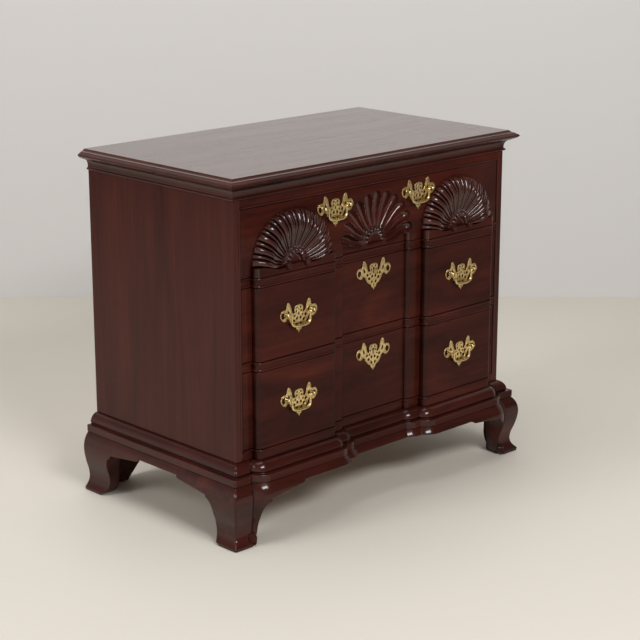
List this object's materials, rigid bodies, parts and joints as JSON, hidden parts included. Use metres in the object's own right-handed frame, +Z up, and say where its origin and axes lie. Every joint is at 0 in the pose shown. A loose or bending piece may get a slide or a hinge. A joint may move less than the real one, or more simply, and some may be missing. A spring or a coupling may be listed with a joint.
{
  "type": "chest of drawers",
  "caption": "Low block front chest of drawers with carved shells, moulded top and base, ogee bracket feet and pierced brass pulls",
  "frame": {"origin": "on the floor, under the middle of the object in length and depth", "axes": "+X along the front to the right as seen from the front, +Y from the front to the back, +Z up"},
  "size_m": [0.934, 0.5484, 0.8004],
  "materials": {
    "mahogany": "polished dark red-brown mahogany",
    "secondary_wood": "plain unpolished poplar",
    "brass": "polished, slightly aged"
  },
  "bodies": {
    "case": {"top_board": "mahogany", "bed_mould_front": "mahogany", "bed_mould_right": "mahogany", "bed_mould_left": "mahogany", "side_right": "mahogany", "side_left": "mahogany", "back_panel": "secondary_wood", "bottom_board": "secondary_wood", "bottom_rail": "mahogany", "divider_lower": "mahogany", "divider_upper": "mahogany", "top_rail": "mahogany", "top_frame": "secondary_wood", "dust_frame_lower": "secondary_wood", "dust_frame_upper": "secondary_wood", "base_mould_front": "mahogany", "base_mould_right": "mahogany", "base_mould_left": "mahogany", "apron_front": "mahogany", "apron_right": "mahogany", "apron_left": "mahogany", "foot_front_right": "mahogany", "foot_front_left": "mahogany", "foot_rear_right": "mahogany", "foot_rear_left": "mahogany", "foot_block_front_right": "secondary_wood", "foot_block_front_left": "secondary_wood", "foot_block_rear_right": "secondary_wood", "foot_block_rear_left": "secondary_wood"},
    "drawer_lower": {"drawer_lower_front": "mahogany", "drawer_lower_side_right": "secondary_wood", "drawer_lower_side_left": "secondary_wood", "drawer_lower_back": "secondary_wood", "drawer_lower_bottom": "secondary_wood", "pull_plate_lower_right": "brass", "pull_plate_lower_left": "brass", "escutcheon_lower": "brass"},
    "drawer_middle": {"drawer_middle_front": "mahogany", "drawer_middle_side_right": "secondary_wood", "drawer_middle_side_left": "secondary_wood", "drawer_middle_back": "secondary_wood", "drawer_middle_bottom": "secondary_wood", "pull_plate_middle_right": "brass", "pull_plate_middle_left": "brass", "escutcheon_middle": "brass"},
    "drawer_upper": {"drawer_upper_front": "mahogany", "drawer_upper_side_right": "secondary_wood", "drawer_upper_side_left": "secondary_wood", "drawer_upper_back": "secondary_wood", "drawer_upper_bottom": "secondary_wood", "pull_plate_upper_right": "brass", "pull_plate_upper_left": "brass", "shell_right": "mahogany", "shell_left": "mahogany"},
    "bail_lower_right": {"bail_lower_right": "brass"},
    "bail_lower_left": {"bail_lower_left": "brass"},
    "bail_middle_right": {"bail_middle_right": "brass"},
    "bail_middle_left": {"bail_middle_left": "brass"},
    "bail_upper_right": {"bail_upper_right": "brass"},
    "bail_upper_left": {"bail_upper_left": "brass"}
  },
  "joints": [
    {"name": "drawer_lower_slide", "type": "slide", "parent": "case", "child": "drawer_lower", "axis": [0, -1, 0], "range_m": [0, 0.38]},
    {"name": "drawer_middle_slide", "type": "slide", "parent": "case", "child": "drawer_middle", "axis": [0, -1, 0], "range_m": [0, 0.38]},
    {"name": "drawer_upper_slide", "type": "slide", "parent": "case", "child": "drawer_upper", "axis": [0, -1, 0], "range_m": [0, 0.38]},
    {"name": "bail_lower_right_hinge", "type": "hinge", "parent": "drawer_lower", "child": "bail_lower_right", "pos_m": [0.2615, -0.2428, 0.30105], "axis": [-1, 0, 0], "range_deg": [-6, 150]},
    {"name": "bail_lower_left_hinge", "type": "hinge", "parent": "drawer_lower", "child": "bail_lower_left", "pos_m": [-0.2615, -0.2428, 0.30105], "axis": [-1, 0, 0], "range_deg": [-6, 150]},
    {"name": "bail_middle_right_hinge", "type": "hinge", "parent": "drawer_middle", "child": "bail_middle_right", "pos_m": [0.2615, -0.2428, 0.49025], "axis": [-1, 0, 0], "range_deg": [-6, 150]},
    {"name": "bail_middle_left_hinge", "type": "hinge", "parent": "drawer_middle", "child": "bail_middle_left", "pos_m": [-0.2615, -0.2428, 0.49025], "axis": [-1, 0, 0], "range_deg": [-6, 150]},
    {"name": "bail_upper_right_hinge", "type": "hinge", "parent": "drawer_upper", "child": "bail_upper_right", "pos_m": [0.13195, -0.2228, 0.699], "axis": [-1, 0, 0], "range_deg": [-6, 150]},
    {"name": "bail_upper_left_hinge", "type": "hinge", "parent": "drawer_upper", "child": "bail_upper_left", "pos_m": [-0.13195, -0.2228, 0.699], "axis": [-1, 0, 0], "range_deg": [-6, 150]}
  ]
}
